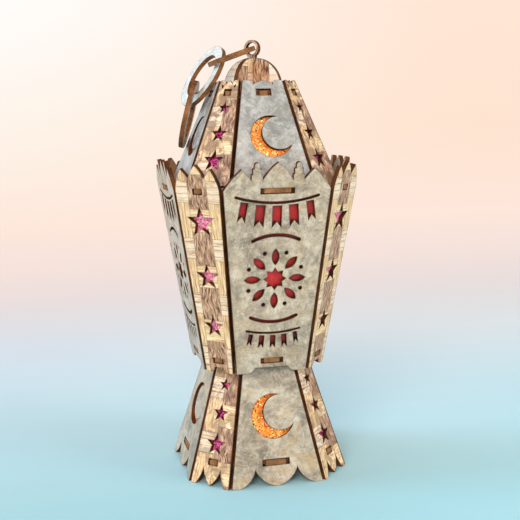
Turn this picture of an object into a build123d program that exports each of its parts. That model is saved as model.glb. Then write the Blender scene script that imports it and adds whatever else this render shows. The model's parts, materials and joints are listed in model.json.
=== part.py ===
# Eight-sided lantern of cut board in three tiers, with a dome finial and a chain of three rings.
# Millimetres, +Z up. The origin is on the lantern's axis at table level and the front faces -Y.
import os
from collections import namedtuple
from math import atan2, cos, degrees, radians, sin, sqrt, tan

from build123d import *

# Stock and fits
board = 3.0                     # thickness of every cut board
card = 0.3                      # glitter card glued behind the cut-outs
fit = 0.1                       # play of a tab in its slot
seam = 0.2                      # each panel side is pulled back by this so that neighbours do not bind
running = 0.4                   # gap round pieces that move
overrun = 20.0                  # how far a cut runs past what it cuts

# Levels of the middle of the four flat plates
foot_plate_height = 14.7        # above the table
floor_plate_height = 83.8       # above the table
body_plate_gap = 115.2          # from the floor plate up to the crown plate
roof_plate_gap = 61.6           # from the crown plate up to the cap plate
crown_plate_height = floor_plate_height + body_plate_gap
cap_plate_height = crown_plate_height + roof_plate_gap

# Inner octagon at two levels of each tier: its level, wide side and narrow side
foot_low_wide = 63.5            # at table level
foot_low_narrow = 30.5
foot_high_drop = 12.3           # below the floor plate
foot_high_wide = 37.0
foot_high_narrow = 19.0
body_low_drop = 6.8             # below the floor plate
body_low_wide = 48.5
body_low_narrow = 21.5
body_high_rise = 2.5            # above the crown plate
body_high_wide = 71.5
body_high_narrow = 34.0
roof_low_rise = 10.0            # above the crown plate
roof_wide_inset = 20.0          # its sides are this much shorter than the body's at the crown plate
roof_narrow_inset = 3.75
roof_high_rise = 7.4            # above the cap plate
roof_high_wide = 27.0
roof_high_narrow = 14.0

# Slots in the panels for the tabs of the plates
foot_wide_slot = 19.0
foot_narrow_slot = 7.7
floor_wide_slot = 15.4
floor_narrow_slot = 8.2
crown_wide_slot = 22.5
crown_narrow_slot = 7.2
cap_wide_slot = 10.2
cap_narrow_slot = 5.6
wide_slot_play = 5.0            # a slot is this much longer than its tab
narrow_slot_play = 2.6

# Tabs of the foot panels up into the floor plate and of the roof panels down into the crown plate
foot_wide_tab = 16.0
foot_narrow_tab = 8.0
roof_wide_tab = 24.0
roof_narrow_tab = 12.0

# Scalloped edge of the foot
foot_lobe_drop = 1.0            # the lobes run this far below the table line before they are trimmed flat
foot_wide_valley = 14.7
foot_wide_valley_rise = 10.6
foot_wide_corner_flat = 5.0
foot_wide_lobe_shares = (0.65, 0.38)    # middle of a lobe's side: shares of its way out and of its way up
foot_narrow_valley = 6.8
foot_narrow_valley_rise = 10.4
foot_narrow_corner_flat = 3.6
foot_narrow_lobe_shares = (0.54, 0.38)

# Skirt of the body, lower at the corners
skirt_drop = 1.5
skirt_rise = 2.2
skirt_wide_arch = 11.5
skirt_wide_lobe = 16.5
skirt_narrow_arch = 3.6
skirt_narrow_lobe = 7.0

# Skyline of a wide body panel, measured sideways from its middle and up from its shoulder
shoulder_over_crown = 0.9       # the shoulder is this far above the crown plate
gable_out = 23.8
gable_rise = 13.4
gable_foot_shares = (0.53, 0.56)    # middle of an arc: shares of its way out and of its way up
gable_flank_shares = (0.49, 0.54)
skyline_valley = 6.4
minaret_out = 13.7
minaret_base_half = 3.7
minaret_middle_half = 2.9
minaret_top_half = 1.9
minaret_base = 3.6              # heights of its three stages and its cap, from the valley up
minaret_middle = 3.6
minaret_top = 2.0
minaret_cap = 2.0
dome_flank_shares = (0.61, 0.5)
dome_rise = 17.8

# Three pointed arches on a narrow body panel
side_arch_out = 11.2
side_arch_rise = 14.0
side_arch_flank_shares = (0.6, 0.58)
arch_valley_out = 5.9
arch_valley_rise = 8.2
middle_arch_rise = 16.6
middle_arch_flank_shares = (0.56, 0.54)

# Scalloped top of the roof
roof_wide_shoulder = 9.4
roof_wide_notch = 6.8
roof_narrow_shoulder = 4.6
roof_narrow_notch = 2.9
roof_notch_depth = 3.0

# Crescents, star rows and their glitter cards
foot_moon_radius = 15.0
foot_moon_rise = 45.5
foot_moon_shift = 0.6
roof_moon_radius = 14.2
roof_moon_rise = 24.3
roof_moon_shift = 2.4
moon_heading = radians(24)      # the way its opening points
moon_opening = radians(49)      # half the angle between its tips
moon_back_share = 0.42          # inner edge at the back, as a share of the radius
star_waist_share = 0.42         # inner radius of a star, as a share of the outer one
foot_star_small = 4.2
foot_star_middle = 5.8
foot_star_large = 7.4
foot_star_top_drop = 18.4       # below the panel's upper edge
foot_star_low = 11.5            # above the foot plate
foot_star_middle_share = 0.52   # place of the middle star between the other two
body_star_large = 10.4
body_star_middle = 8.8
body_star_small = 7.5
body_star_top_drop = 20.9       # below the shoulder
body_star_low = 32.0
body_star_middle_share = 0.486
roof_star_small = 4.2
roof_star_middle = 6.0
roof_star_large = 7.7
roof_star_top_drop = 11.5       # below the cap plate
roof_star_low = 7.9
roof_star_middle_share = 0.503
card_margin = 4.0               # a card stops this far short of its panel's sides
card_gap = 1.2                  # and this far short of the plates above and below it

# Bunting: a garland slit with swallow-tailed flags hanging across it
upper_garland_half = 27.2
upper_garland_drop = 4.2        # below the shoulder
upper_garland_sag = 4.2
upper_garland_slit = 1.6
upper_flag_pitch = 10.8
upper_flag_width = 6.2
upper_flag_length = 14.2
upper_flag_gap = 2.0
upper_flag_tail = 3.7
lower_garland_half = 18.0
lower_garland_rise = 29.3
lower_garland_sag = 2.2
lower_garland_slit = 1.3
lower_flag_pitch = 7.5
lower_flag_width = 3.5
lower_flag_length = 8.8
lower_flag_gap = 1.8
lower_flag_tail = 2.6
flag_fan = radians(4.5)         # each flag leans this much more than the one nearer the middle
flag_size_shares = (0.8, 1.0, 1.0, 1.0, 0.8)

# Rosette that fills the space between the garlands, with a sprig slit above and below it
sprig_clear = 4.1               # from a garland to a sprig
sprig_half = 15.5
sprig_sag = 3.6
sprig_slit = 2.1
rosette_clear = 4.6             # from a sprig to the rosette
petal_count = 8
petal_near_share = 0.466        # these six are shares of the rosette's radius
petal_half_share = 0.121
rosette_star_share = 0.369
rosette_waist_share = 0.251
bead_ring_share = 0.922
bead_share = 0.063

# Dome finial and its eyelet
dome_half = 22.4
dome_wall_rise = 5.0            # straight foot of the dome plates, hidden behind the roof's edge
dome_shoulder_half = 16.2
dome_shoulder_rise = 16.8
dome_top_rise = 22.4
dome_tab_width = 6.0
dome_tab_out = 13.0
neck_half = 2.9
neck_rise = 6.5                 # from the top of the dome to the middle of the eyelet
eyelet_wall = 1.6
eyelet_play = 1.86              # round the link ring's section, which goes through it aslant

# Chain rings
link_ring_radius = 17.0
link_ring_band = 3.2
ring_radius = 23.6
ring_band = 7.4
link_ring_fall = radians(19.1)  # below level, to the left
link_ring_yaw = radians(7.4)    # turned to the back
link_ring_slack = 0.29          # its band lies this far to the right of the middle of the eyelet
link_ring_sag = 0.31            # and this far below it
middle_ring_play = 1.97         # between the bands of the link ring and the middle ring
middle_ring_front = 0.64        # it hangs this far in front of the link ring's middle
middle_ring_axis = (-0.838, -0.193, 0.510)
middle_ring_fall = (-0.479, 0.710, -0.517)      # the way it hangs
handle_ring_play = 3.56         # between the bands of the middle ring and the handle ring
handle_ring_seat = (-0.540, 0.142, -0.830)      # the way to where it hangs, from the middle ring's middle
handle_ring_axis = (-0.932, 0.261, 0.252)
handle_ring_fall = (-0.317, -0.247, -0.916)
handle_ring_dip = 1.04          # its back edge dips this far past the face of the roof's left panel, beside it

# Battery tea light, pushed into the floor plate from below
light_radius = 19.0
light_height = 18.0
light_wall = 1.2
light_flange_lip = 3.5
light_flange = 2.4
flame_radius = 5.5
flame_height = 17.0
flame_waist_share = 0.7         # radius at half height, as a share of the flame's radius
flame_socket = 3.0
switch_lap = 1.0                # its plate covers the slot by this much all round
switch_knob = 3.2
switch_knob_drop = 1.6
switch_plate = 1.0
switch_travel = 3.0
finger_room = 11.5              # round the light's flange in the foot plate

Level = namedtuple("Level", "height wide narrow")


class Tier:
    """Eight sloping sides between two levels of an inner octagon."""

    def __init__(self, low, high):
        self.low = low
        self.high = high

    def side(self, kind, height):
        """Length of one side of the inner octagon."""
        share = (height - self.low.height) / (self.high.height - self.low.height)
        low, high = getattr(self.low, kind), getattr(self.high, kind)
        return low + share * (high - low)

    def reach(self, kind, height):
        """Distance from the axis to the inner face."""
        other = "narrow" if kind == "wide" else "wide"
        return self.side(kind, height) / 2 + self.side(other, height) / sqrt(2)

    def lean(self, kind):
        """Angle of a side from upright, positive where the tier narrows upwards."""
        inward = self.reach(kind, self.low.height) - self.reach(kind, self.high.height)
        return atan2(inward, self.high.height - self.low.height)

    def face(self, kind, turn):
        """Plane of an inner face: x to the right seen from outside, y up the slope, z outwards."""
        out = Vector(cos(turn), sin(turn), 0)
        normal = out * cos(self.lean(kind)) + Vector(0, 0, sin(self.lean(kind)))
        origin = out * self.reach(kind, self.low.height) + Vector(0, 0, self.low.height)
        return Plane(origin, x_dir=(-sin(turn), cos(turn), 0), z_dir=normal)

    def climb(self, kind, height):
        """Way up the inner face from the tier's lower level to a height."""
        return (height - self.low.height) / cos(self.lean(kind))

    def under(self, kind, height):
        """Highest climb at which the whole square-cut edge stays below a height."""
        return self.climb(kind, height) - max(board * tan(self.lean(kind)), 0)

    def half(self, kind, climb):
        """Half the width of a panel at a climb."""
        height = self.low.height + climb * cos(self.lean(kind))
        return self.side(kind, height) / 2 - seam


foot = Tier(Level(0, foot_low_wide, foot_low_narrow),
            Level(floor_plate_height - foot_high_drop, foot_high_wide, foot_high_narrow))
body = Tier(Level(floor_plate_height - body_low_drop, body_low_wide, body_low_narrow),
            Level(crown_plate_height + body_high_rise, body_high_wide, body_high_narrow))
roof = Tier(Level(crown_plate_height + roof_low_rise, body.side("wide", crown_plate_height) - roof_wide_inset,
                  body.side("narrow", crown_plate_height) - roof_narrow_inset),
            Level(cap_plate_height + roof_high_rise, roof_high_wide, roof_high_narrow))

wide_sides = {"front": radians(-90), "right": radians(0), "back": radians(90), "left": radians(180)}
narrow_sides = {"front_right": radians(-45), "back_right": radians(45),
                "back_left": radians(135), "front_left": radians(-135)}
sides = {"wide": wide_sides, "narrow": narrow_sides}


def save(part, label):
    """Name a piece and write it out."""
    part.label = label
    export_step(part, f"parts/{label}.step")


def plate_slot(tier, kind, plate_height, length):
    """Slot through a panel for the tab of a level plate."""
    lean = tier.lean(kind)
    middle = tier.climb(kind, plate_height) - board / 2 * tan(lean)
    with Locations((0, middle)):
        Rectangle(length, board / cos(lean) + board * abs(tan(lean)) + 2 * fit, mode=Mode.SUBTRACT)


def star_cut(rise, radius, waist, points):
    """Straight-sided star, one point up."""
    ends = []
    for step in range(2 * points):
        turn = radians(90 + 180 * step / points)
        arm = radius if step % 2 == 0 else waist
        ends.append((arm * cos(turn), rise + arm * sin(turn)))
    Polygon(*ends, align=None, mode=Mode.SUBTRACT)


def star_row(low, top, middle_share, radii):
    """Three five-pointed stars one above the other, given from the lowest up."""
    for share, radius in zip((0, middle_share, 1), radii):
        star_cut(low + share * (top - low), radius, radius * star_waist_share, 5)


def blade_cut(start, first, end, second):
    """Opening between two arcs that share their ends."""
    with BuildSketch(mode=Mode.PRIVATE) as blade:
        with BuildLine():
            ThreePointArc(start, first, end)
            ThreePointArc(end, second, start)
        make_face()
    add(blade.sketch, mode=Mode.SUBTRACT)


def moon_cut(rise, shift, radius):
    """Crescent that opens to the upper right."""
    def at(arm, turn):
        return (shift + arm * cos(turn), rise + arm * sin(turn))
    upper = at(radius, moon_heading + moon_opening)
    lower = at(radius, moon_heading - moon_opening)
    back = moon_heading + radians(180)
    blade_cut(upper, at(radius, back), lower, at(radius * moon_back_share, back))


def sagging_slit(half, rise, sag, slit):
    """Slit of even width along a shallow arc; a negative sag humps it."""
    with BuildLine(mode=Mode.PRIVATE) as course:
        ThreePointArc((-half, rise), (0, rise - sag), (half, rise))
    SlotArc(course.edge(), slit, mode=Mode.SUBTRACT)


def bunting(half, rise, sag, slit, pitch, width, length, gap, tail):
    """Garland slit with flags fanned out below it."""
    sagging_slit(half, rise, sag, slit)
    middle = len(flag_size_shares) // 2
    for place, size in enumerate(flag_size_shares):
        step = place - middle
        across = step * pitch
        top = rise - sag * (1 - (across / half) ** 2) - gap
        flag = width * size / 2
        end = -length * (1 + size) / 2
        with Locations(Location((across, top), step * degrees(flag_fan))):
            Polygon((-flag, 0), (-flag, end), (0, end + tail), (flag, end), (flag, 0),
                    align=None, mode=Mode.SUBTRACT)


def rosette(bottom, top):
    """Eight-pointed star in a ring of petals and beads, with a sprig slit above and below."""
    rise = (bottom + top) / 2
    sprig = (top - bottom) / 2 - sprig_clear - sprig_slit / 2 - sprig_sag
    radius = sprig - sprig_slit / 2 - rosette_clear
    star_cut(rise, radius * rosette_star_share, radius * rosette_waist_share, petal_count)
    for step in range(petal_count):
        turn = radians(360 * step / petal_count)
        along, across = Vector(cos(turn), sin(turn)), Vector(-sin(turn), cos(turn))
        center = Vector(0, rise)
        near, far = center + along * radius * petal_near_share, center + along * radius
        side = across * radius * petal_half_share
        blade_cut(near, (near + far) / 2 + side, far, (near + far) / 2 - side)
    with Locations((0, rise)):
        with PolarLocations(radius * bead_ring_share, petal_count, start_angle=180 / petal_count):
            Circle(radius * bead_share, mode=Mode.SUBTRACT)
    sagging_slit(sprig_half, rise + sprig, -sprig_sag, sprig_slit)
    sagging_slit(sprig_half, rise - sprig, sprig_sag, sprig_slit)


def flank(start, end, shares):
    """Arc whose middle lies at given shares of the way out and the way up from the lower end."""
    low, high = sorted((start, end), key=lambda point: point[1])
    inner, outer = sorted((start, end), key=lambda point: point[0])
    middle = (inner[0] + shares[0] * (outer[0] - inner[0]), low[1] + shares[1] * (high[1] - low[1]))
    ThreePointArc(start, middle, end)


def foot_outline(kind, valley, valley_rise, corner_flat, lobe_shares, tab):
    """Right half of a foot panel: scalloped below, shoulder and tab above."""
    low = -foot_lobe_drop
    corner = foot.half(kind, low)
    top = foot.under(kind, floor_plate_height - board / 2 - fit)
    tip = foot.under(kind, floor_plate_height + board / 2)
    out_share, up_share = lobe_shares
    flank((0, low), (valley, valley_rise), lobe_shares)
    flank((valley, valley_rise), (corner - corner_flat, low), (1 - out_share, up_share))
    Polyline((corner - corner_flat, low), (corner, low), (foot.half(kind, top), top),
             (tab / 2, top), (tab / 2, tip), (0, tip))


def shoulder(kind):
    """Way up a body panel to its shoulder."""
    return body.climb(kind, crown_plate_height + shoulder_over_crown)


def skirt_outline(kind, arch, lobe):
    """Right half of the lower edge and the side of a body panel."""
    corner = body.half(kind, -skirt_drop)
    Line((0, skirt_rise), (arch, skirt_rise))
    TangentArc((lobe, -skirt_drop), (arch, skirt_rise), tangent=(-1, 0))
    Polyline((lobe, -skirt_drop), (corner, -skirt_drop), (body.half(kind, shoulder(kind)), shoulder(kind)))


def skyline_outline():
    """Right half of the top edge of a wide body panel: gable, minaret and pointed dome."""
    base = shoulder("wide")
    valley = base + skyline_valley
    first = valley + minaret_base
    second = first + minaret_middle
    eaves = second + minaret_top
    outer, inner = minaret_out + minaret_base_half, minaret_out - minaret_base_half
    gable = (gable_out, base + gable_rise)
    flank((body.half("wide", base), base), gable, gable_foot_shares)
    flank(gable, (outer, valley), gable_flank_shares)
    steps = ((minaret_base_half, minaret_middle_half, first), (minaret_middle_half, minaret_top_half, second))
    for sign in (1, -1):
        corners = [(minaret_out + sign * minaret_base_half, valley)]
        for below, above, level in steps:
            corners.append((minaret_out + sign * below, level))
            corners.append((minaret_out + sign * above, level))
        Polyline(*corners, (minaret_out + sign * minaret_top_half, eaves))
    ThreePointArc((minaret_out + minaret_top_half, eaves), (minaret_out, eaves + minaret_cap),
                  (minaret_out - minaret_top_half, eaves))
    flank((inner, valley), (0, base + dome_rise), dome_flank_shares)


def arches_outline():
    """Right half of the top edge of a narrow body panel."""
    base = shoulder("narrow")
    peak, valley = (side_arch_out, base + side_arch_rise), (arch_valley_out, base + arch_valley_rise)
    flank((body.half("narrow", base), base), peak, side_arch_flank_shares)
    Line(peak, valley)
    flank(valley, (0, base + middle_arch_rise), middle_arch_flank_shares)


def roof_outline(kind, shoulder, notch, tab):
    """Right half of a roof panel: tab below, scalloped above."""
    foot_edge = roof.climb(kind, crown_plate_height + board / 2 + fit)
    tip = roof.climb(kind, crown_plate_height - board / 2)
    top = roof.climb(kind, roof.high.height)
    corner = roof.half(kind, top)
    Polyline((0, tip), (tab / 2, tip), (tab / 2, foot_edge), (roof.half(kind, foot_edge), foot_edge),
             (corner, top), (shoulder, top))
    TangentArc((shoulder, top), (notch, top - roof_notch_depth), tangent=(-1, 0))
    Line((notch, top - roof_notch_depth), (0, top))


def foot_panel(kind):
    """Sketch of a foot panel."""
    with BuildSketch() as sketch:
        with BuildLine():
            if kind == "wide":
                foot_outline(kind, foot_wide_valley, foot_wide_valley_rise, foot_wide_corner_flat,
                             foot_wide_lobe_shares, foot_wide_tab)
            else:
                foot_outline(kind, foot_narrow_valley, foot_narrow_valley_rise, foot_narrow_corner_flat,
                             foot_narrow_lobe_shares, foot_narrow_tab)
            mirror(about=Plane.YZ)
        make_face()
        if kind == "wide":
            plate_slot(foot, kind, foot_plate_height, foot_wide_slot)
            moon_cut(foot_moon_rise, foot_moon_shift, foot_moon_radius)
        else:
            plate_slot(foot, kind, foot_plate_height, foot_narrow_slot)
            edge = foot.under(kind, floor_plate_height - board / 2 - fit)
            star_row(foot.climb(kind, foot_plate_height) + foot_star_low, edge - foot_star_top_drop,
                     foot_star_middle_share, (foot_star_large, foot_star_middle, foot_star_small))
    return sketch.sketch


def body_panel(kind):
    """Sketch of a body panel."""
    with BuildSketch() as sketch:
        with BuildLine():
            if kind == "wide":
                skirt_outline(kind, skirt_wide_arch, skirt_wide_lobe)
                skyline_outline()
            else:
                skirt_outline(kind, skirt_narrow_arch, skirt_narrow_lobe)
                arches_outline()
            mirror(about=Plane.YZ)
        make_face()
        if kind == "wide":
            plate_slot(body, kind, floor_plate_height, floor_wide_slot)
            plate_slot(body, kind, crown_plate_height, crown_wide_slot)
            garland = shoulder(kind) - upper_garland_drop
            bunting(upper_garland_half, garland, upper_garland_sag, upper_garland_slit,
                    upper_flag_pitch, upper_flag_width, upper_flag_length, upper_flag_gap, upper_flag_tail)
            bunting(lower_garland_half, lower_garland_rise, lower_garland_sag, lower_garland_slit,
                    lower_flag_pitch, lower_flag_width, lower_flag_length, lower_flag_gap, lower_flag_tail)
            rosette(lower_garland_rise + lower_garland_slit / 2,
                    garland - upper_garland_sag - upper_flag_gap - upper_flag_length)
        else:
            plate_slot(body, kind, floor_plate_height, floor_narrow_slot)
            plate_slot(body, kind, crown_plate_height, crown_narrow_slot)
            star_row(body_star_low, shoulder(kind) - body_star_top_drop,
                     body_star_middle_share, (body_star_small, body_star_middle, body_star_large))
    return sketch.sketch


def roof_panel(kind):
    """Sketch of a roof panel."""
    with BuildSketch() as sketch:
        with BuildLine():
            if kind == "wide":
                roof_outline(kind, roof_wide_shoulder, roof_wide_notch, roof_wide_tab)
            else:
                roof_outline(kind, roof_narrow_shoulder, roof_narrow_notch, roof_narrow_tab)
            mirror(about=Plane.YZ)
        make_face()
        if kind == "wide":
            plate_slot(roof, kind, cap_plate_height, cap_wide_slot)
            moon_cut(roof_moon_rise, roof_moon_shift, roof_moon_radius)
        else:
            plate_slot(roof, kind, cap_plate_height, cap_narrow_slot)
            star_row(roof_star_low, roof.climb(kind, cap_plate_height) - roof_star_top_drop,
                     roof_star_middle_share, (roof_star_large, roof_star_middle, roof_star_small))
    return sketch.sketch


os.makedirs("parts", exist_ok=True)

# Panels, and the glitter card glued inside each one between two plates
tiers = {"foot": (foot, foot_panel, foot_plate_height, floor_plate_height),
         "body": (body, body_panel, floor_plate_height, crown_plate_height),
         "roof": (roof, roof_panel, crown_plate_height, cap_plate_height)}
for tier_name, (tier, draw, plate_below, plate_above) in tiers.items():
    for kind in ("wide", "narrow"):
        pattern = draw(kind)
        bottom = tier.climb(kind, plate_below + board / 2) + card_gap
        top = tier.climb(kind, plate_above - board / 2) - card_gap
        for side, turn in sides[kind].items():
            face = tier.face(kind, turn)
            with BuildPart() as panel:
                with BuildSketch(face):
                    add(pattern)
                extrude(amount=board)
                if tier is foot:
                    split(bisect_by=Plane.XY, keep=Keep.TOP)
            save(panel.part, f"{tier_name}_{kind}_panel_{side}")

            with BuildPart() as backing:
                with BuildSketch(face):
                    with BuildLine():
                        low_half = tier.half(kind, bottom) - card_margin
                        high_half = tier.half(kind, top) - card_margin
                        Polyline((-low_half, bottom), (low_half, bottom), (high_half, top), (-high_half, top),
                                 close=True)
                    make_face()
                extrude(amount=-card)
            save(backing.part, f"{tier_name}_{kind}_card_{side}")


def octagon(tier, height):
    """Outline of a plate that lies inside a tier, with its tabs out to the face of the panels."""
    low, high = height - board / 2, height + board / 2
    level = low if tier.reach("wide", low) < tier.reach("wide", high) else high
    along = tier.side("wide", level) / 2
    out = tier.reach("wide", level) - fit * sqrt(2)
    corners = []
    for x_sign, y_sign in ((1, -1), (1, 1), (-1, 1), (-1, -1)):
        pair = [(x_sign * along, y_sign * out), (x_sign * out, y_sign * along)]
        corners.extend(pair if x_sign * y_sign < 0 else pair[::-1])
    Polygon(*corners, align=None)


def tabs(tier, height, wide_slot, narrow_slot):
    """Tabs of a plate, flush with the outer face of the panels at mid thickness."""
    for kind, tab in (("wide", wide_slot - wide_slot_play), ("narrow", narrow_slot - narrow_slot_play)):
        end = tier.reach(kind, height) + board / cos(tier.lean(kind))
        for turn in sides[kind].values():
            with Locations(Plane.XY.rotated((0, 0, degrees(turn)))):
                Rectangle(end, tab, align=(Align.MIN, Align.CENTER))


def tab_slots(tier, height, wide_tab, narrow_tab):
    """Slots of a plate for the sloping tabs of the tier that stands on it or hangs below it."""
    for kind, tab in (("wide", wide_tab), ("narrow", narrow_tab)):
        near = tier.reach(kind, height + board / 2)
        far = tier.reach(kind, height - board / 2) + board / cos(tier.lean(kind))
        for turn in sides[kind].values():
            with Locations(Plane.XY.rotated((0, 0, degrees(turn)))):
                with Locations(((near + far) / 2, 0)):
                    Rectangle(far - near + 2 * fit, tab + 2 * fit, mode=Mode.SUBTRACT)


# Level plates that the panels are slotted onto
light_flange_radius = light_radius + light_flange_lip
with BuildPart() as foot_plate:
    with BuildSketch(Plane.XY.offset(foot_plate_height - board / 2)):
        octagon(foot, foot_plate_height)
        tabs(foot, foot_plate_height, foot_wide_slot, foot_narrow_slot)
        Circle(light_flange_radius + finger_room, mode=Mode.SUBTRACT)
    extrude(amount=board)
save(foot_plate.part, "foot_plate")

with BuildPart() as floor_plate:
    with BuildSketch(Plane.XY.offset(floor_plate_height - board / 2)):
        octagon(body, floor_plate_height)
        tabs(body, floor_plate_height, floor_wide_slot, floor_narrow_slot)
        tab_slots(foot, floor_plate_height, foot_wide_tab, foot_narrow_tab)
        Circle(light_radius + running, mode=Mode.SUBTRACT)
    extrude(amount=board)
save(floor_plate.part, "floor_plate")

with BuildPart() as crown_plate:
    with BuildSketch(Plane.XY.offset(crown_plate_height - board / 2)):
        octagon(body, crown_plate_height)
        tabs(body, crown_plate_height, crown_wide_slot, crown_narrow_slot)
        tab_slots(roof, crown_plate_height, roof_wide_tab, roof_narrow_tab)
    extrude(amount=board)
save(crown_plate.part, "crown_plate")

with BuildPart() as cap_plate:
    with BuildSketch(Plane.XY.offset(cap_plate_height - board / 2)):
        octagon(roof, cap_plate_height)
        tabs(roof, cap_plate_height, cap_wide_slot, cap_narrow_slot)
        with PolarLocations(dome_tab_out, 4, start_angle=45):
            Rectangle(dome_tab_width + 2 * fit, board + 2 * fit, mode=Mode.SUBTRACT)
    extrude(amount=board)
save(cap_plate.part, "cap_plate")

# Dome plates, lapped half and half from narrow side to narrow side; one carries the eyelet
dome_base = cap_plate_height + board / 2 + fit
lap_level = dome_top_rise / 2
eyelet_rise = dome_top_rise + neck_rise
eyelet_hole = sqrt(link_ring_band ** 2 + board ** 2) / 2 + eyelet_play


def dome_sketch():
    """Outline of a dome plate from its tabs up to its crown."""
    with BuildSketch() as sketch:
        with BuildLine():
            Polyline((0, 0), (dome_half, 0), (dome_half, dome_wall_rise))
            ThreePointArc((dome_half, dome_wall_rise), (dome_shoulder_half, dome_shoulder_rise),
                          (0, dome_top_rise))
            mirror(about=Plane.YZ)
        make_face()
        with Locations((dome_tab_out, 0), (-dome_tab_out, 0)):
            Rectangle(dome_tab_width, board + fit, align=(Align.CENTER, Align.MAX))
    return sketch.sketch


def dome_face(side):
    """Middle plane of the dome plate that faces a narrow side: x to the right, y up."""
    turn = narrow_sides[side]
    return Plane((0, 0, dome_base), x_dir=(-sin(turn), cos(turn), 0), z_dir=(cos(turn), sin(turn), 0))


with BuildPart() as dome_plate:
    with BuildSketch(dome_face("front_left")):
        add(dome_sketch())
        Rectangle(2 * neck_half, eyelet_rise, align=(Align.CENTER, Align.MIN))
        with Locations((0, eyelet_rise)):
            Circle(eyelet_hole + eyelet_wall)
            Circle(eyelet_hole, mode=Mode.SUBTRACT)
        Rectangle(board + 2 * fit, lap_level + fit, align=(Align.CENTER, Align.MIN), mode=Mode.SUBTRACT)
    extrude(amount=board / 2, both=True)
save(dome_plate.part, "dome_plate")

with BuildPart() as dome_cross_plate:
    with BuildSketch(dome_face("front_right")):
        add(dome_sketch())
        with Locations((0, lap_level)):
            Rectangle(board + 2 * fit, overrun, align=(Align.CENTER, Align.MIN), mode=Mode.SUBTRACT)
    extrude(amount=board / 2, both=True)
save(dome_cross_plate.part, "dome_cross_plate")


def ring_sketch(radius, band):
    """Flat ring."""
    Circle(radius)
    Circle(radius - band, mode=Mode.SUBTRACT)


# Chain: a link ring through the eyelet, a middle ring through it, and the ring that is held
link_level = Vector(-cos(link_ring_yaw), sin(link_ring_yaw), 0)
link_across = Vector(sin(link_ring_yaw), cos(link_ring_yaw), 0)
link_out = link_level * cos(link_ring_fall) - Vector(0, 0, sin(link_ring_fall))
link_ring_axis = link_level * sin(link_ring_fall) + Vector(0, 0, cos(link_ring_fall))
eyelet_center = Vector(0, 0, dome_base + eyelet_rise)
link_ring_arm = link_ring_radius - link_ring_band / 2 - link_ring_slack
link_ring_center = eyelet_center + link_out * link_ring_arm - link_ring_axis * link_ring_sag
ring_arm = ring_radius - ring_band / 2      # out to the middle of the band
middle_ring_out = link_ring_radius - link_ring_band - middle_ring_play - ring_band / 2
middle_ring_seat = link_ring_center + link_out * middle_ring_out - link_across * middle_ring_front
middle_ring_center = middle_ring_seat + Vector(*middle_ring_fall).normalized() * ring_arm
handle_ring_out = ring_radius - ring_band - handle_ring_play - ring_band / 2
handle_seat = middle_ring_center + Vector(*handle_ring_seat).normalized() * handle_ring_out
handle_ring_hung = handle_seat + Vector(*handle_ring_fall).normalized() * ring_arm
roof_left = roof.face("wide", wide_sides["left"])
square_share = Vector(*handle_ring_axis).normalized().dot(roof_left.z_dir)
handle_ring_reach = board / 2 * square_share + ring_radius * sqrt(1 - square_share ** 2)
handle_ring_off = (handle_ring_hung - roof_left.origin).dot(roof_left.z_dir)
handle_ring_push = board - handle_ring_dip + handle_ring_reach - handle_ring_off
handle_ring_center = handle_ring_hung + roof_left.z_dir * handle_ring_push
rings = {"link_ring": (link_ring_center, link_ring_axis, link_ring_radius, link_ring_band),
         "middle_ring": (middle_ring_center, middle_ring_axis, ring_radius, ring_band),
         "handle_ring": (handle_ring_center, handle_ring_axis, ring_radius, ring_band)}
for ring_name, (center, axis, radius, band) in rings.items():
    with BuildPart() as ring:
        with BuildSketch(Plane(center, z_dir=axis)):
            ring_sketch(radius, band)
        extrude(amount=board / 2, both=True)
    save(ring.part, ring_name)

# Tea light: hollow case with a flange under the floor plate, flame lens and slide switch
flange_top = floor_plate_height - board / 2 - running
light_base = flange_top - light_flange
light_top = light_base + light_height
switch_slot_length = switch_knob + switch_travel + 2 * running
switch_slot_width = switch_knob + 2 * running
with BuildPart() as tea_light_case:
    with BuildSketch(Plane.XY.offset(light_base)):
        Circle(light_flange_radius)
    extrude(amount=light_flange)
    with BuildSketch(Plane.XY.offset(light_base)):
        Circle(light_radius)
    extrude(amount=light_height)
    with BuildSketch(Plane.XY.offset(light_base + light_flange)):
        Circle(light_radius - light_wall)
    extrude(amount=light_height - light_flange - light_wall, mode=Mode.SUBTRACT)
    with BuildSketch(Plane.XY.offset(light_top - light_wall)):
        Circle(flame_radius + fit)
    extrude(amount=overrun, mode=Mode.SUBTRACT)
    with BuildSketch(Plane.XY.offset(light_base)):
        Rectangle(switch_slot_length, switch_slot_width)
    extrude(amount=light_flange, mode=Mode.SUBTRACT)
save(tea_light_case.part, "tea_light_case")

with BuildPart() as tea_light_flame:
    with BuildSketch(Plane.XZ):
        with BuildLine():
            Polyline((0, light_top - flame_socket), (flame_radius, light_top - flame_socket),
                     (flame_radius, light_top))
            flame_waist = flame_radius * flame_waist_share
            Spline((flame_radius, light_top), (flame_waist, light_top + flame_height / 2),
                   (0, light_top + flame_height), tangents=((0, 1), (-1, 1)))
            Line((0, light_top + flame_height), (0, light_top - flame_socket))
        make_face()
    revolve(axis=Axis.Z)
save(tea_light_flame.part, "tea_light_flame")

slide_level = light_base + light_flange + running
with BuildPart() as tea_light_switch:
    with BuildSketch(Plane.XY.offset(slide_level)):
        with Locations((-switch_travel / 2, 0)):
            Rectangle(switch_slot_length + 2 * switch_lap, switch_slot_width + 2 * switch_lap)
    extrude(amount=switch_plate)
    with BuildSketch(Plane.XY.offset(light_base - switch_knob_drop)):
        with Locations((-switch_travel / 2, 0)):
            Rectangle(switch_knob, switch_knob)
    extrude(amount=slide_level - light_base + switch_knob_drop)
save(tea_light_switch.part, "tea_light_switch")
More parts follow.
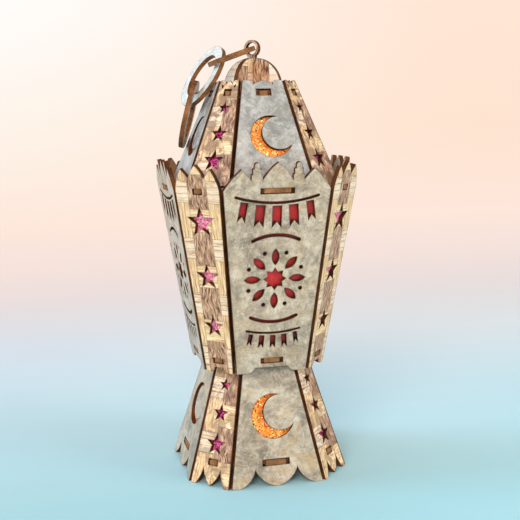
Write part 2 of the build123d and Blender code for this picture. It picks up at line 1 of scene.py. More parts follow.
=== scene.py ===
# %% [markdown]
# # Dressing a cut-board lantern
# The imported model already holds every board, card and ring of the lantern at its true size.
# This lesson loads it, gives each board its printed face and its burnt edges, and sets a small
# studio around it. Everything is in metres, with +Z up and the front of the lantern facing -Y.

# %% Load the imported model
import json
from math import cos, radians, sin

import bmesh
import bpy
from mathutils import Matrix, Vector


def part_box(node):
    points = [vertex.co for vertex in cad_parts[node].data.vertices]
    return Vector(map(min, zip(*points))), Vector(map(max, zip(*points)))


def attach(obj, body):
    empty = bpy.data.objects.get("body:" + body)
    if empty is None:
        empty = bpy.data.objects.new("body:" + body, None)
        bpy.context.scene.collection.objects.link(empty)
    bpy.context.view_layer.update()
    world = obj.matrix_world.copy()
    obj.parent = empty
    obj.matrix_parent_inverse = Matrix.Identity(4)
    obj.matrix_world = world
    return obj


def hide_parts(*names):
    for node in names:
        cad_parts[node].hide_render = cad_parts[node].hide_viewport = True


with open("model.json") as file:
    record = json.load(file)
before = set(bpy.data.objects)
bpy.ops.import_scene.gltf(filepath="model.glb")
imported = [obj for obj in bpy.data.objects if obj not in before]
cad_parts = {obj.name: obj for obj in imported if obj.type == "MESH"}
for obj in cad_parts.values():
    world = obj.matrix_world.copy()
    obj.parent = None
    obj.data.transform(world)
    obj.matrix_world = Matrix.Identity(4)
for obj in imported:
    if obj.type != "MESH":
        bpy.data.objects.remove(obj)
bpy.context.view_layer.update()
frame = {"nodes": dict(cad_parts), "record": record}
nodes = frame["nodes"]
scene = bpy.context.scene
mm = 0.001

# %% [markdown]
# ## The camera
# The photograph looks slightly down at the lantern from a little left of its front. A constraint
# could aim the camera, but the picture is also rolled by a hair, so the camera's own axes are worked
# out here. The values put the corners of the panels on the same points of the picture. The sensor is
# left at its usual 36 mm, so a longer lens means a narrower view.

# %% Camera
camera_turn = radians(14.035)       # to the left of the front
camera_away = 638.78 * mm           # from the lantern's axis
camera_height = 246.39 * mm
camera_pitch = radians(8.90)        # down
camera_roll = radians(0.731)
camera_lens = 63.37
camera_shift = (0.0099, -0.0034)

camera_data = bpy.data.cameras.new("camera")
camera_data.lens = camera_lens
camera_data.shift_x, camera_data.shift_y = camera_shift
camera = bpy.data.objects.new("camera", camera_data)
scene.collection.objects.link(camera)
level_ahead = Vector((sin(camera_turn), cos(camera_turn), 0))
level_right = Vector((cos(camera_turn), -sin(camera_turn), 0))
forward = level_ahead * cos(camera_pitch) - Vector((0, 0, sin(camera_pitch)))
level_up = level_right.cross(forward)
right = level_right * cos(camera_roll) - level_up * sin(camera_roll)
up = level_up * cos(camera_roll) + level_right * sin(camera_roll)
place = Vector((0, 0, camera_height)) - level_ahead * camera_away
axes = Matrix((right, up, -forward)).transposed().to_4x4()
camera.matrix_world = Matrix.Translation(place) @ axes
scene.camera = camera
print("camera at", [round(part, 4) for part in place])

# %% [markdown]
# ## Shader sums as Python sums
# A material is a tree of nodes. Wiring them by hand is slow to read, so one small class wraps an
# output socket: `a * 2 + b` adds the Math nodes for that sum, and `node` adds any other kind. A
# Math node turns a colour grey, so colours go through `mix` and `ramp` instead.

# %% A wrapped socket
mix_factor, mix_first, mix_second, mix_colour = 0, 6, 7, 2      # colour sockets of a Mix node


class Wire:
    """One output of a shader tree."""

    def __init__(self, tree, socket=None):
        self.tree = tree
        self.socket = socket

    def node(self, kind, settings, inputs, output=0):
        """Add a node: its settings first, then the values or wires of its sockets."""
        made = self.tree.nodes.new("ShaderNode" + kind)
        for name, value in settings.items():
            if name == "stops":
                ramp = made.color_ramp.elements
                while len(ramp) < len(value):
                    ramp.new(1)
                for stop, (position, colour) in zip(ramp, value):
                    stop.position = position
                    stop.color = colour
            else:
                setattr(made, name, value)
        for name, value in inputs.items():
            if isinstance(value, Wire):
                self.tree.links.new(value.socket, made.inputs[name])
            else:
                made.inputs[name].default_value = value
        return Wire(self.tree, made.outputs[output])

    def maths(self, operation, *values):
        return self.node("Math", {"operation": operation}, dict(enumerate(values)))

    def __add__(self, other):
        return self.maths("ADD", self, other)

    def __sub__(self, other):
        return self.maths("SUBTRACT", self, other)

    def __rsub__(self, other):
        return self.maths("SUBTRACT", other, self)

    def __mul__(self, other):
        return self.maths("MULTIPLY", self, other)

    def __truediv__(self, other):
        return self.maths("DIVIDE", self, other)

    __radd__ = __add__
    __rmul__ = __mul__

    def size(self):
        return self.maths("ABSOLUTE", self)

    def change(self, edge, soft, first, last):
        """One value below an edge, another above it, with a soft change."""
        return self.node("MapRange", {"interpolation_type": "SMOOTHSTEP"},
                         {"Value": self, "From Min": edge - soft, "From Max": edge + soft,
                          "To Min": first, "To Max": last})

    def under(self, edge, soft):
        """1 below an edge, 0 above it."""
        return self.change(edge, soft, 1, 0)

    def over(self, edge, soft):
        """0 below an edge, 1 above it."""
        return self.change(edge, soft, 0, 1)

    def near(self, period, start):
        """Distance to the nearest of a row of places."""
        return self.maths("PINGPONG", self - (start - 2 * period), period / 2)

    def blend(self, share, first, second):
        """First colour where the share is 0, second where it is 1."""
        return self.node("Mix", {"data_type": "RGBA"},
                         {mix_factor: share, mix_first: first, mix_second: second}, mix_colour)

    def mix(self, first, second):
        """First colour where this wire is 0, second where it is 1."""
        return self.blend(self, first, second)

    def ramp(self, *stops):
        return self.node("ValToRGB", {"stops": stops}, {"Fac": self})

    def vector(self, operation, *values, output=0):
        return self.node("VectorMath", {"operation": operation}, dict(enumerate(values)), output)

    def parts(self):
        """The three parts of a vector."""
        return [self.node("SeparateXYZ", {}, {"Vector": self}, axis) for axis in "XYZ"]


print("shader sums ready")

# %% [markdown]
# ## Colours and materials
# Colours are written as they look on screen, 0 to 255, and turned into the linear values that
# shaders use. Every finish starts from a Principled shader and ends by plugging its wires into the
# same few sockets, so both steps are helpers. A pattern is placed by Object coordinates: they are in
# metres and run on from board to board, so a noise scale below is a count of features in a metre.

# %% Colour and material helpers
def tone(red, green, blue):
    """A colour as it looks on screen, in linear light, by the sRGB curve."""
    def linear(part):
        share = part / 255
        return share / 12.92 if share <= 0.04045 else ((share + 0.055) / 1.055) ** 2.4
    return (linear(red), linear(green), linear(blue), 1)


def material(name):
    """An empty material with its wire and its shader node."""
    made = bpy.data.materials.new(name)
    made.use_nodes = True
    return made, Wire(made.node_tree), made.node_tree.nodes["Principled BSDF"]


relief_depth = 0.1 * mm


def plug(wire, shader, colour, roughness=None, bump=None, strength=None):
    """Join the finished wires to the shader."""
    links = wire.tree.links
    links.new(colour.socket, shader.inputs["Base Color"])
    if roughness is not None:
        links.new(roughness.socket, shader.inputs["Roughness"])
    if bump is not None:
        relief = wire.node("Bump", {}, {"Strength": strength, "Distance": relief_depth, "Height": bump})
        links.new(relief.socket, shader.inputs["Normal"])


def place_of(wire):
    return wire.node("TexCoord", {}, {}, "Object")


def noise(wire, at, scale, detail=2.0, rough=0.5, warp=0.0):
    return wire.node("TexNoise", {}, {"Vector": at, "Scale": scale, "Detail": detail,
                                      "Roughness": rough, "Distortion": warp})


print("material helpers ready")

# %% [markdown]
# ## Burnt edges
# A laser cuts these boards, and it chars what it passes: the cut walls are dark brown with fine
# lines across the thickness, and the print beside a cut is browned for a fraction of a millimetre.
# One material could find its edges with a bevel or pointiness trick, but those don't bake well, so
# the wall is a material of its own. The browned rim is a point attribute called `scorch`, 1 on the
# cut and 0 a little way in, which every printed material reads.

# %% Burnt wall and scorch
scorch_brown = tone(70, 38, 16)
scorch_least = 0.35
scorch_patchy = 0.9
patch_scale = 260
char_scale = 110
char_share = 0.7
line_scale = 1500
line_share = 0.45
char_offset = 0.08
wall_gloss = 0.15


def scorched(wire, colour):
    """Brown a colour beside the cuts."""
    burn = wire.node("Attribute", {"attribute_name": "scorch"}, {}, "Fac")
    patch = noise(wire, place_of(wire), patch_scale, detail=3)
    return (burn * (scorch_least + patch * scorch_patchy)).mix(colour, scorch_brown)


def burnt_wall(name, dark, light):
    made, wire, shader = material(name)
    at = place_of(wire)
    char = noise(wire, at, char_scale, detail=4, rough=0.6)
    lines = noise(wire, at, line_scale)
    mask = char * char_share + lines * line_share - char_offset
    plug(wire, shader, colour=mask.ramp((0.3, dark), (0.72, light)), roughness=0.62 + lines * 0.25,
         bump=lines, strength=0.35)
    shader.inputs["Specular IOR Level"].default_value = wall_gloss
    return made


dark_wall = burnt_wall("burnt_wall", tone(16, 6, 2), tone(116, 64, 26))
tab_wall = burnt_wall("tab_end", tone(84, 50, 28), tone(168, 114, 70))
# The rings' walls are the same burnt board: their lighter brown is painted light for the lit edges of the
# bars.
ring_wall_lit = burnt_wall("ring_wall_lit", tone(50, 28, 15), tone(168, 108, 62))
print("walls", dark_wall.name, tab_wall.name, ring_wall_lit.name)

# %% [markdown]
# ## Stone print
# The wide panels carry a print of pale weathered stone: soft grey clouds, paler blooms, a few warm
# stains, hairline veins and cracks, and a fine tooth. A picture could be wrapped on, but layers of
# noise need no file and run through the whole lantern, so no two panels show the same patch. Veins
# and cracks are where a noise crosses its middle value. The roof's print is cooler than the body's.

# %% Stone print
cloud_scale, veil_scale, warm_scale, smudge_scale = 70, 28, 46, 38
blot_scale, vein_scale, crack_scale, tooth_scale = 210, 48, 66, 760
noise_middle = 0.5
print_coat = 0.25
print_coat_roughness = 0.3


def stone_print(name, deep, mid, pale, bloom, stain, stain_share):
    made, wire, shader = material(name)
    at = place_of(wire)
    cloud = noise(wire, at, cloud_scale, detail=8, rough=0.68, warp=0.5)
    veil = noise(wire, at, veil_scale, detail=6, rough=0.65, warp=1.4).over(edge=0.55, soft=0.1)
    warm = noise(wire, at, warm_scale, detail=5, rough=0.6, warp=0.9).over(edge=0.57, soft=0.08)
    smudge = noise(wire, at, smudge_scale, detail=5, rough=0.62, warp=0.6).under(edge=0.41, soft=0.07)
    blot = noise(wire, at, blot_scale, detail=4, rough=0.7)
    vein = noise(wire, at, vein_scale, detail=6, rough=0.62, warp=1.6) - noise_middle
    crack = noise(wire, at, crack_scale, detail=6, rough=0.66, warp=1.2) - noise_middle
    tooth = noise(wire, at, tooth_scale, detail=3, rough=0.75)
    colour = cloud.ramp((0.32, deep), (0.46, mid), (0.56, pale), (0.7, bloom))
    for mask, share, layer in ((veil, 0.5, bloom), (warm, stain_share, stain), (smudge, 0.55, deep),
                               (blot.under(edge=0.42, soft=0.08), 0.4, deep),
                               (blot.over(edge=0.6, soft=0.07), 0.45, bloom),
                               (vein.size().under(edge=0.014, soft=0.014), 0.4, bloom),
                               (crack.size().under(edge=0.006, soft=0.006), 0.4, deep),
                               (tooth.under(edge=0.39, soft=0.07), 0.4, deep)):
        colour = (mask * share).mix(colour, layer)
    plug(wire, shader, colour=scorched(wire, colour), roughness=0.42 + tooth * 0.25,
         bump=tooth + cloud, strength=0.25)
    shader.inputs["Coat Weight"].default_value = print_coat
    shader.inputs["Coat Roughness"].default_value = print_coat_roughness
    return made


body_stone = stone_print("body_stone", tone(105, 89, 72), tone(153, 132, 110), tone(177, 153, 128),
                         tone(212, 193, 170), tone(188, 155, 111), stain_share=0.55)
# The foot's print is a darker copy of the body's: the extra darkness is painted shade, because the foot leans
# up into the light.
foot_stone_shaded = stone_print("foot_stone_shaded", tone(98, 85, 70), tone(145, 128, 107), tone(166, 147, 123),
                         tone(202, 187, 166), tone(182, 150, 104), stain_share=0.55)
roof_stone = stone_print("roof_stone", tone(100, 96, 91), tone(131, 126, 120), tone(148, 142, 135),
                         tone(196, 189, 181), tone(160, 145, 124), stain_share=0.35)
# The rings' print is a paler copy of the stone: the paleness is painted light, for the glare on the rings'
# faces.
ring_stone_lit = stone_print("ring_stone_lit", tone(150, 146, 138), tone(183, 179, 171), tone(197, 193, 184),
                         tone(218, 215, 206), tone(196, 186, 166), stain_share=0.25)
print("stone prints", body_stone.name, foot_stone_shaded.name, roof_stone.name, ring_stone_lit.name)

# %% [markdown]
# ## Wood grain
# The narrow panels carry a print of woven wood strips in four woods. Grain could be a Wave texture,
# but its lines are too even. Here it is noise squeezed across the fibres and drawn out along them,
# and a second, wider noise makes the fibres wander. Each wood is one ramp of colours.

# %% Grain and woods
wander_scale = 130
yellow_wood = ((0.32, tone(160, 110, 72)), (0.45, tone(210, 164, 114)), (0.62, tone(240, 206, 162)))
walnut_wood = ((0.36, tone(66, 38, 24)), (0.44, tone(146, 102, 74)), (0.56, tone(190, 144, 110)),
               (0.7, tone(228, 198, 166)))
pale_wood = ((0.34, tone(170, 122, 88)), (0.43, tone(224, 187, 150)), (0.6, tone(236, 208, 178)))
maple_wood = ((0.32, tone(178, 126, 82)), (0.46, tone(224, 182, 132)), (0.66, tone(244, 214, 172)))
joint_brown = tone(112, 78, 50)
umber = tone(104, 66, 40)
cream = tone(246, 232, 214)


def streaks(wire, across, along, fine, long, wave):
    """Grain with fine fibres a metre across, long ones a metre along, that wander by a wave."""
    wander = (noise(wire, place_of(wire), wander_scale) - noise_middle) * wave
    at = wire.node("CombineXYZ", {}, {"X": (across + wander) * fine, "Y": along * long})
    return noise(wire, at, 1, detail=3, rough=0.6)


print("woods", len((yellow_wood, walnut_wood, pale_wood, maple_wood)))

# %% [markdown]
# ## Parquet print
# A column of the weave alternates walnut, with its wavy grain upright, and maple; the columns beside
# it alternate yellow wood, grain upright, and pale slats, grain level. The print follows each panel,
# so it reads the panel's own UV map, in metres: u across from the panel's middle, v up from its
# lowest point. A mask for each block picks its wood, and thin lines mark the joints. Umber patches
# lie over the whole print: light stains on the body, and deep on the foot and the roof, where the
# depth beyond the stains is painted shade for these up-facing tiers.

# %% Parquet print
weave_period = 38 * mm
walnut_half = 11.4 * mm
slat_half = 7.2 * mm
column_half = 7.3 * mm
spot_half = 6 * mm
slat_pitch = 4.6 * mm
joint_half = 0.35 * mm
fine_joint_half = 0.3 * mm
joint_soft = 0.25 * mm
block_soft = 0.3 * mm
joint_share = 0.4
wobble_scale = 180
wobble_size = 1.6 * mm
column_wobble = 0.5
umber_patch_scale = 130
nowhere = -1.0


def parquet_print(name, start, shift, umber_and_shade_share, painted_highlight_share=0.0, spot=nowhere):
    """start is where a walnut block has its middle, shift where the walnut column has its own;
    umber_and_shade_share is the depth of the umber patches, stains that on the foot and the roof run
    deep as painted shade; painted_highlight_share how far the other woods are turned to cream, a
    painted highlight; and spot the middle of one more walnut block."""
    made, wire, shader = material(name)
    across, along, _ = wire.node("UVMap", {"uv_map": "sheet"}, {}).parts()
    wobble = (noise(wire, place_of(wire), wobble_scale) - noise_middle) * wobble_size
    aside = (across - shift).size()
    column = (aside + wobble * column_wobble).under(column_half, joint_soft)
    step = along.near(weave_period, start) + wobble
    walnut = column * step.under(walnut_half, block_soft)
    slat = (1 - column) * step.under(slat_half, block_soft)

    upright = streaks(wire, across, along, fine=950, long=70, wave=3 * mm)
    curl = streaks(wire, across, along, fine=900, long=140, wave=6 * mm)
    level = streaks(wire, along, across, fine=900, long=60, wave=3 * mm)
    colour = column.mix(upright.ramp(*yellow_wood), level.ramp(*maple_wood))
    colour = slat.mix(colour, level.ramp(*pale_wood))
    # painted highlight: the other woods turned toward cream stand in for the glare on the lit dome face
    colour = wire.blend(painted_highlight_share, colour, cream)
    extra = (along - spot).size().under(spot_half, block_soft)
    colour = walnut.maths("MAXIMUM", walnut, extra).mix(colour, curl.ramp(*walnut_wood))
    umber_patch = noise(wire, place_of(wire), umber_patch_scale, detail=4, rough=0.65, warp=0.6)
    umber_patch = umber_patch.over(edge=noise_middle, soft=0.07)
    # umber patches: stains, and where the share is deep, painted shade
    colour = (umber_patch * umber_and_shade_share).mix(colour, umber)

    joint = (step - walnut_half).size().under(joint_half, joint_soft) * column
    joint = joint + (step - slat_half).size().under(joint_half, joint_soft) * (1 - column)
    joint = joint + (aside - column_half).size().under(fine_joint_half, joint_soft)
    gaps = along.near(slat_pitch, start + slat_pitch / 2).under(fine_joint_half, joint_soft) * slat
    colour = (joint * joint_share + gaps * joint_share).mix(colour, joint_brown)
    plug(wire, shader, colour=scorched(wire, colour), roughness=0.48 + upright * 0.2,
         bump=curl, strength=0.2)
    return made


# painted shade: the deep umber on the foot and the roof darkens these up-facing tiers
foot_parquet = parquet_print("foot_parquet", 28.4 * mm, column_half, umber_and_shade_share=0.56)
body_parquet = parquet_print("body_parquet", 11.5 * mm, 0, umber_and_shade_share=0.12)
roof_parquet = parquet_print("roof_parquet", 13.0 * mm, column_half, umber_and_shade_share=0.72)
# the dome plate's cream is a painted highlight
dome_parquet = parquet_print("dome_parquet", 16.0 * mm, 6.6 * mm, umber_and_shade_share=0.0, painted_highlight_share=0.7,
                             spot=32.2 * mm)
dome_cross_parquet = parquet_print("dome_cross_parquet", 8.5 * mm, -15.6 * mm, umber_and_shade_share=0.0)
print("parquet prints", foot_parquet.name, body_parquet.name, roof_parquet.name, dome_parquet.name,
      dome_cross_parquet.name)

# %% [markdown]
# ## Bare board
# The four level plates and the backs of the narrow panels are unprinted fibre board: warm brown with
# a faint felt of fibres, and smoke stains where the laser passed. Fine and wide noise are added up
# and one ramp colours the sum, which keeps the two browns in step.

# %% Bare board
felt_scale = 900
felt_share = 0.55
smoke_scale = 45
smoke_share = 0.45


def bare_board_finish(name, dark, light):
    made, wire, shader = material(name)
    at = place_of(wire)
    felt = noise(wire, at, felt_scale, detail=4, rough=0.7)
    slit_shade = noise(wire, at, smoke_scale, detail=4, rough=0.6, warp=0.5)
    colour = (felt * felt_share + slit_shade * smoke_share).ramp((0.32, dark), (0.62, light))
    plug(wire, shader, colour=scorched(wire, colour), roughness=0.7 + felt * 0.2,
         bump=felt, strength=0.3)
    return made


bare_board = bare_board_finish("bare_board", tone(120, 84, 54), tone(182, 138, 96))
print("bare board", bare_board.name)

# %% [markdown]
# ## Boards with a rim
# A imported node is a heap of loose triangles, so a copy of it is merged first. Its flat faces are
# told from its cut walls by their normals. Each flat face is then inset by the width of the scorched
# rim, which gives the `scorch` attribute a ring of points to fade across. A vertex group would do as
# well, but an attribute is read by name in any material.

# %% A board with a scorched rim
rim_width = 0.5 * mm
merge_distance = 0.002 * mm
flat_facing = 0.99
level_limit = 0.2               # a board that leans less than this from level counts as level
front_index, wall_index, back_index = 0, 1, 2


def board_axes(mesh, out):
    """Normal of a board on the side of out, with its directions across and up."""
    flattest = max(mesh.faces, key=lambda face: face.calc_area()).normal.copy()
    normal = flattest if flattest.dot(out) > 0 else -flattest
    across = Vector((0, 0, 1)).cross(normal)
    across = across.normalized() if across.length > level_limit else Vector((1, 0, 0))
    return normal, across, normal.cross(across)


def add_rim(mesh, normal):
    """Sort the faces of a board into front, wall and back, and scorch its rims."""
    flats = {front_index: [], back_index: []}
    walls = []
    for face in mesh.faces:
        face.material_index = wall_index
        facing = face.normal.dot(normal)
        if abs(facing) > flat_facing:
            flats[front_index if facing > 0 else back_index].append(face)
        else:
            walls.append(face)
    for index, faces in flats.items():
        rim = bmesh.ops.inset_region(mesh, faces=faces, thickness=rim_width, use_boundary=True,
                                     use_even_offset=True)["faces"]
        for face in faces + rim:
            face.material_index = index
    scorch = mesh.verts.layers.float.new("scorch")
    for face in walls:
        for vert in face.verts:
            vert[scorch] = 1


print("rim", round(rim_width / mm, 2), "mm")

# %% [markdown]
# The UV map is laid flat on the board at the same time, along the board's own directions.

# %% Dress a board
crease_angle = radians(30)


def dress_board(node, out, front, wall, back, body):
    """A board piece that stands for a node, with a print, burnt walls and a back."""
    mesh = bmesh.new()
    mesh.from_mesh(nodes[node].data)
    bmesh.ops.remove_doubles(mesh, verts=mesh.verts, dist=merge_distance)
    normal, across, up_board = board_axes(mesh, out)
    add_rim(mesh, normal)
    lowest = min(vert.co.dot(up_board) for vert in mesh.verts)
    sheet = mesh.loops.layers.uv.new("sheet")
    for face in mesh.faces:
        face.smooth = face.material_index == wall_index
        for loop in face.loops:
            spot = loop.vert.co
            loop[sheet].uv = (spot.dot(across), spot.dot(up_board) - lowest)
    data = bpy.data.meshes.new(node + "_board")
    mesh.to_mesh(data)
    mesh.free()
    data.set_sharp_from_angle(angle=crease_angle)
    for finish in (front, wall, back):
        data.materials.append(finish)
    piece = bpy.data.objects.new(node + "_board", data)
    scene.collection.objects.link(piece)
    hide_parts(node)
    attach(piece, body)
    return len(data.polygons)


print("boards to dress", len([name for name in nodes if "_card_" not in name and "tea_" not in name]))

# %% [markdown]
# ## Panels
# The same call dresses all 24 panels. The side of a panel that points away from the axis gets the
# print. The wide boards are printed on both sides, and the narrow ones are bare inside.

# %% Panels of the three tiers
prints = {"foot": (foot_stone_shaded, foot_parquet), "body": (body_stone, body_parquet),
          "roof": (roof_stone, roof_parquet)}
panels = [name for name in nodes if "_panel_" in name]
panel_faces = 0
for name in panels:
    stone, parquet = prints[name.split("_")[0]]
    low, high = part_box(name)
    out = (low + high) / 2
    out.z = 0
    if "_wide_" in name:
        panel_faces += dress_board(name, out, stone, dark_wall, stone, "lantern")
    else:
        panel_faces += dress_board(name, out, parquet, dark_wall, bare_board, "lantern")
print("panels dressed", len(panels), "faces", panel_faces)

# %% [markdown]
# ## Plates, dome and rings
# The level plates stay bare, with lighter walls where their tabs show in the slots. The two dome
# plates carry the parquet print on both sides. The rings are cut from stone-print board and each
# one rides on its own moving body, so it swings with its joint.

# %% Level plates, dome plates and rings
plates = ("foot_plate", "floor_plate", "crown_plate", "cap_plate")
rings = ("link_ring", "middle_ring", "handle_ring")
ring_out = Vector((-1, -0.3, 0.2))
for name in plates:
    dress_board(name, Vector((0, 0, 1)), bare_board, tab_wall, bare_board, "lantern")
for name, out, parquet in (("dome_plate", Vector((-1, -1, 0)), dome_parquet),
                           ("dome_cross_plate", Vector((1, -1, 0)), dome_cross_parquet)):
    dress_board(name, out, parquet, dark_wall, parquet, "lantern")
for name in rings:
    dress_board(name, ring_out, ring_stone_lit, ring_wall_lit, ring_stone_lit, name)
print("plates", len(plates), "rings", len(rings))

# %% [markdown]
# ## Card backs
# Behind the cut-outs sit cards, finished on the outside and bare paper on the inside. Two materials
# on each card would do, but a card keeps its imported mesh, so one material tells the sides by the way
# a face points: away from the lantern's axis or towards it.

# %% Inner side of a card
paper_scale = 700
paper_dark = tone(214, 206, 194)
paper_light = tone(238, 233, 224)


def faces_axis(wire, at):
    """1 on the side of a card that faces the lantern's axis, 0 on its other side."""
    flat = wire.vector("MULTIPLY", at, (1, 1, 0))
    facing = wire.node("NewGeometry", {}, {}, "Normal")
    return wire.vector("DOT_PRODUCT", flat, facing, output="Value").under(edge=0, soft=1 * mm)


def paper_backed(wire, at, inward, colour):
    """Bare paper in place of a colour on the inner side of a card."""
    felt = noise(wire, at, paper_scale, detail=3)
    return inward.mix(colour, felt.ramp((0.35, paper_dark), (0.65, paper_light)))


print("card back helpers ready")

# %% [markdown]
# ## Glitter cards
# Crescents and stars show glitter. Each grain of it is a tiny mirror at its own tilt. Modelling the
# grains would take millions of faces, so a Voronoi texture gives every cell a random colour, which
# picks the grain's shade and tilts its normal: some grains flash and others stay dark. A few cells
# are also given a pale colour, a painted glint on top of the flashes from the tilt.

# %% Glitter
grain_scale = 1100
grain_tilt = 0.9
grain_metal = 0.35
half_way = (0.5, 0.5, 0.5)


def glitter(name, dark, mid, light, painted_glint):
    made, wire, shader = material(name)
    at = place_of(wire)
    grain = wire.node("TexVoronoi", {"feature": "F1"},
                      {"Vector": at, "Scale": grain_scale, "Randomness": 1}, "Color")
    pick = wire.node("SeparateColor", {}, {"Color": grain}, "Red")
    glint_pick = wire.node("SeparateColor", {}, {"Color": grain}, "Green")
    colour = pick.ramp((0.05, dark), (0.4, mid), (0.75, light))
    # painted glint: a few grains get a pale colour
    colour = glint_pick.over(edge=0.86, soft=0.03).mix(colour, painted_glint)
    inward = faces_axis(wire, at)
    plug(wire, shader, colour=paper_backed(wire, at, inward, colour),
         roughness=0.22 + pick * 0.3 + inward * 0.4)

    tilt = wire.node("VectorMath", {"operation": "SCALE"},
                     {0: wire.vector("SUBTRACT", grain, half_way), "Scale": grain_tilt - grain_tilt * inward})
    turned = wire.vector("ADD", tilt, wire.node("NewGeometry", {}, {}, "Normal"))
    wire.tree.links.new(wire.vector("NORMALIZE", turned).socket, shader.inputs["Normal"])
    metal = grain_metal - grain_metal * inward
    wire.tree.links.new(metal.socket, shader.inputs["Metallic"])
    return made


orange = glitter("orange_glitter", tone(190, 78, 12), tone(242, 120, 26), tone(252, 160, 58),
                 tone(255, 222, 140))
# Part of the magenta's darkness is painted shade, taken from the stars of the shadowed narrow panels.
magenta = glitter("magenta_glitter", tone(76, 6, 42), tone(150, 18, 84), tone(198, 42, 116),
                  tone(246, 150, 190))
pink = glitter("pink_glitter", tone(224, 72, 112), tone(246, 110, 146), tone(252, 146, 172),
               tone(255, 212, 222))
print("glitters", orange.name, magenta.name, pink.name)

# %% [markdown]
# ## Red card
# The body's wide panels are backed by a plain red satin card. Behind the narrow slits little light
# reaches it, and that shade is painted into its colour: painting each slit would tie the finish to one
# drawing, so an Ambient Occlusion node measures how open the board is above each point, and closed
# places are painted near-black as shade.

# %% Satin card, and a finish for every card
satin_scale = 420
satin_share = 0.4
sweep_scale = 40
sweep_share = 0.6
shade_reach = 6 * mm
shade_rays = 8
shade_edge = 0.36
shade_soft = 0.12


def satin_card(name, dark, light, slit_shade):
    made, wire, shader = material(name)
    at = place_of(wire)
    fibre = noise(wire, at, satin_scale, detail=3)
    sweep = noise(wire, at, sweep_scale)
    colour = (fibre * satin_share + sweep * sweep_share).ramp((0.35, dark), (0.62, light))
    openness = wire.node("AmbientOcclusion", {"samples": shade_rays}, {"Distance": shade_reach}, "AO")
    # painted shade: where the card is closed in, behind the narrow slits, its colour turns near-black
    colour = openness.under(shade_edge, shade_soft).mix(colour, slit_shade)
    colour = paper_backed(wire, at, faces_axis(wire, at), colour)
    plug(wire, shader, colour=colour, roughness=0.35 + fibre * 0.2, bump=fibre, strength=0.15)
    return made


# the last colour is the painted shade behind the narrow slits
red = satin_card("red_satin", tone(138, 16, 14), tone(204, 32, 28), tone(40, 16, 12))
card_finishes = {"orange_card": orange, "magenta_card": magenta, "pink_card": pink, "red_card": red}
for part in frame["record"]["subparts"]:
    if part["material_slot"] in card_finishes:
        nodes[part["node"]].material_slots[0].material = card_finishes[part["material_slot"]]
print("cards", len([name for name in nodes if "_card_" in name]))

# %% [markdown]
# ## Tea light
# A bought battery tea light stands in the floor plate: a white moulded case, a frosted flame and a
# black slide switch below. It is seen through the seams and from underneath. Moulded plastic is
# nearly one colour, so a wide, weak noise is enough, with a fine one for its spark-eroded skin.

# %% Tea light
skin_scale = 1400
flow_scale = 60
flame_clearness = 0.35


def moulded(name, low_tone, high_tone, rough):
    made, wire, shader = material(name)
    at = place_of(wire)
    skin = noise(wire, at, skin_scale)
    flow = noise(wire, at, flow_scale)
    plug(wire, shader, colour=flow.ramp((0.3, low_tone), (0.7, high_tone)),
         roughness=rough + skin * 0.15, bump=skin, strength=0.12)
    return made


light_finishes = {
    "tea_light_case": moulded("white_case", tone(222, 219, 208), tone(240, 238, 230), rough=0.4),
    "tea_light_switch": moulded("black_switch", tone(24, 24, 26), tone(42, 42, 44), rough=0.45),
    "tea_light_flame": moulded("frosted_flame", tone(240, 205, 140), tone(250, 228, 180), rough=0.25),
}
frosted = light_finishes["tea_light_flame"].node_tree.nodes["Principled BSDF"]
frosted.inputs["Transmission Weight"].default_value = flame_clearness
for name, finish in light_finishes.items():
    nodes[name].material_slots[0].material = finish
print("tea light pieces", len(light_finishes))

# %% [markdown]
# ## Studio
# The backdrop is one sheet: a floor that curves up into a wall, pale blue near the camera and a
# warm cream above. It is grown from its front edge by two extrusions, and the crease between floor
# and wall is bevelled into a wide cove, so that no line shows where they meet.

# %% Backdrop
floor_near = -1.6
floor_far = 1.25
wall_top = 2.2
half_wide = 2.6
cove_size = 0.6
cove_steps = 16
backdrop_mesh = bmesh.new()
corners = [backdrop_mesh.verts.new((x, floor_near, 0)) for x in (-half_wide, half_wide)]
edge = backdrop_mesh.edges.new(corners)
for move in ((0, floor_far - floor_near, 0), (0, 0, wall_top)):
    grown = bmesh.ops.extrude_edge_only(backdrop_mesh, edges=[edge])["geom"]
    ends = [item for item in grown if isinstance(item, bmesh.types.BMVert)]
    bmesh.ops.translate(backdrop_mesh, verts=ends, vec=move)
    edge = [item for item in grown if isinstance(item, bmesh.types.BMEdge)
            and len(item.link_faces) == 1 and all(vert in ends for vert in item.verts)][0]
cove = [item for item in backdrop_mesh.edges if len(item.link_faces) == 2]
bmesh.ops.bevel(backdrop_mesh, geom=cove, offset=cove_size, offset_type="OFFSET", segments=cove_steps,
                profile=0.5, affect="EDGES", material=-1)
for face in backdrop_mesh.faces:
    face.smooth = True
backdrop_data = bpy.data.meshes.new("backdrop")
backdrop_mesh.to_mesh(backdrop_data)
backdrop_mesh.free()
backdrop = bpy.data.objects.new("backdrop", backdrop_data)
scene.collection.objects.link(backdrop)
print("backdrop faces", len(backdrop_data.polygons))

# %% [markdown]
# ## Backdrop colours
# The sheet is a plain diffuse floor near the lantern, so that it takes the shadow. Further back it
# turns into an even glow, but only for rays that come from the camera, a reflection or a clear
# piece: the glow is seen, yet it adds no light to the lantern. The colours run along `way`, which
# goes from 0 on the floor in front of the lantern to 1 high on the wall. On the floor near the
# lantern the left side is painted darker, painted shade against the lamps' pool of light there, and
# the right side lighter, painted light that thins the lantern's shadow.

# %% Backdrop finish
way_start = 0.3
way_length = 3
far_tones = ((0.33, tone(238, 223, 220)), (0.43, tone(254, 231, 219)))
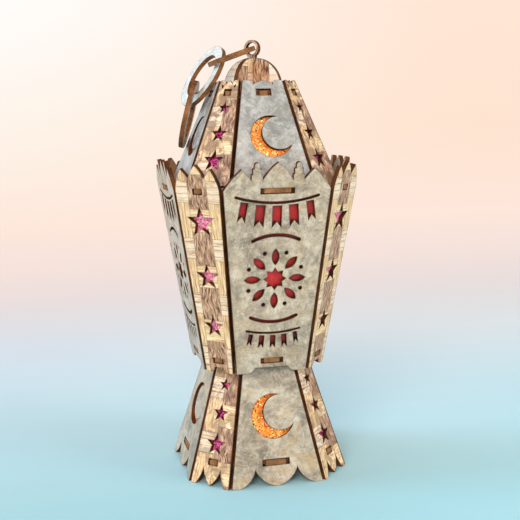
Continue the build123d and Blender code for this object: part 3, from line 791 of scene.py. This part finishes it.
# The near floor tones are partly painted: darker on the left as painted shade, lighter on the right as
# painted light over the lantern's shadow.
left_tones_with_painted_shade = ((0.067, tone(150, 190, 195)), (0.144, tone(178, 202, 206)), (0.214, tone(200, 206, 211)),
              *far_tones, (0.545, tone(254, 243, 232)), (0.658, tone(255, 253, 250)))
right_tones_with_painted_light = ((0.067, tone(166, 210, 218)), (0.144, tone(188, 211, 216)), (0.214, tone(217, 220, 221)),
               *far_tones, (0.545, tone(254, 228, 208)), (0.658, tone(255, 230, 213)))
sheet_roughness = 0.9
spread_edge, spread_soft = 0.3, 0.08        # where the sides' colours start to spread out
near_side_edge, near_side_soft = 0, 0.2
far_side_edge, far_side_soft = 0.25, 0.55
glow_edge, glow_soft = 0.25, 0.1


def seen_ray(wire):
    """1 for rays from the camera, a reflection or a clear piece, 0 for the rays that carry light."""
    first, second, third = (wire.node("LightPath", {}, {}, "Is %s Ray" % kind)
                            for kind in ("Camera", "Glossy", "Transmission"))
    return wire.maths("MINIMUM", first + second + third, 1)


sheet_finish, wire, shader = material("backdrop_sheet")
side, depth, rise = place_of(wire).parts()
way = (depth + rise + way_start) / way_length
spread = way.over(spread_edge, spread_soft)
near_share = side.over(near_side_edge, near_side_soft)
far_share = side.over(far_side_edge, far_side_soft)
side_share = (1 - spread) * near_share + spread * far_share
colour = side_share.mix(way.ramp(*left_tones_with_painted_shade), way.ramp(*right_tones_with_painted_light))
plug(wire, shader, colour=colour)
shader.inputs["Roughness"].default_value = sheet_roughness
glow = wire.node("Emission", {}, {"Color": colour, "Strength": 1})
lit = Wire(wire.tree, shader.outputs["BSDF"])
glow_share = seen_ray(wire) * way.over(glow_edge, glow_soft)
surface = wire.node("MixShader", {}, {0: glow_share, 1: lit, 2: glow})
wire.tree.links.new(surface.socket, wire.tree.nodes["Material Output"].inputs["Surface"])
backdrop_data.materials.append(sheet_finish)
print("backdrop finish", sheet_finish.name)

# %% [markdown]
# ## Lamps
# A large, slightly warm key lamp stands in front and to the left, so the cut-outs get their shadow
# on that side. A small, low fill lamp at the right, a little cool, keeps the right-hand sides
# readable. A blue one from the far left gives the left-hand stone its cool sheen. Area lamps are
# used because their size sets how soft the shadows are.

# %% Lamps
lantern_middle = Vector((0, 0, 0.15))


def lamp(name, place_at, size, power, colour):
    data = bpy.data.lights.new(name, "AREA")
    data.shape = "DISK"
    data.size = size
    data.energy = power
    data.color = colour
    made = bpy.data.objects.new(name, data)
    scene.collection.objects.link(made)
    made.location = place_at
    made.rotation_euler = (lantern_middle - Vector(place_at)).to_track_quat("-Z", "Y").to_euler()


lamp("key", place_at=(-1.0, -1.95, 1.05), size=1.6, power=47, colour=(1.0, 0.95, 0.88))
lamp("fill", place_at=(1.45, -1.05, 0.5), size=0.9, power=19, colour=(0.8, 0.92, 1.0))
lamp("sheen", place_at=(-1.9, 0.6, 0.95), size=1.0, power=32, colour=(0.5, 0.74, 1.0))

# %% [markdown]
# ## World
# The world fills the shadows with an even white light. Where the view runs past the backdrop the
# same trick as before shows a pale cream in its place, without adding light. The view transform is
# Standard, so that the colours written above come out as they are.

# %% World
world_strength = 0.5
world = bpy.data.worlds.new("studio")
world.use_nodes = True
wire = Wire(world.node_tree)
even = world.node_tree.nodes["Background"]
even.inputs["Color"].default_value = (1, 1, 1, 1)
even.inputs["Strength"].default_value = world_strength
even_light = Wire(wire.tree, even.outputs["Background"])
pale_view = wire.node("Background", {}, {"Color": tone(254, 240, 230), "Strength": 1})
surface = wire.node("MixShader", {}, {0: seen_ray(wire), 1: even_light, 2: pale_view})
wire.tree.links.new(surface.socket, wire.tree.nodes["World Output"].inputs["Surface"])
scene.world = world
scene.view_settings.view_transform = "Standard"
print("world", world.name)
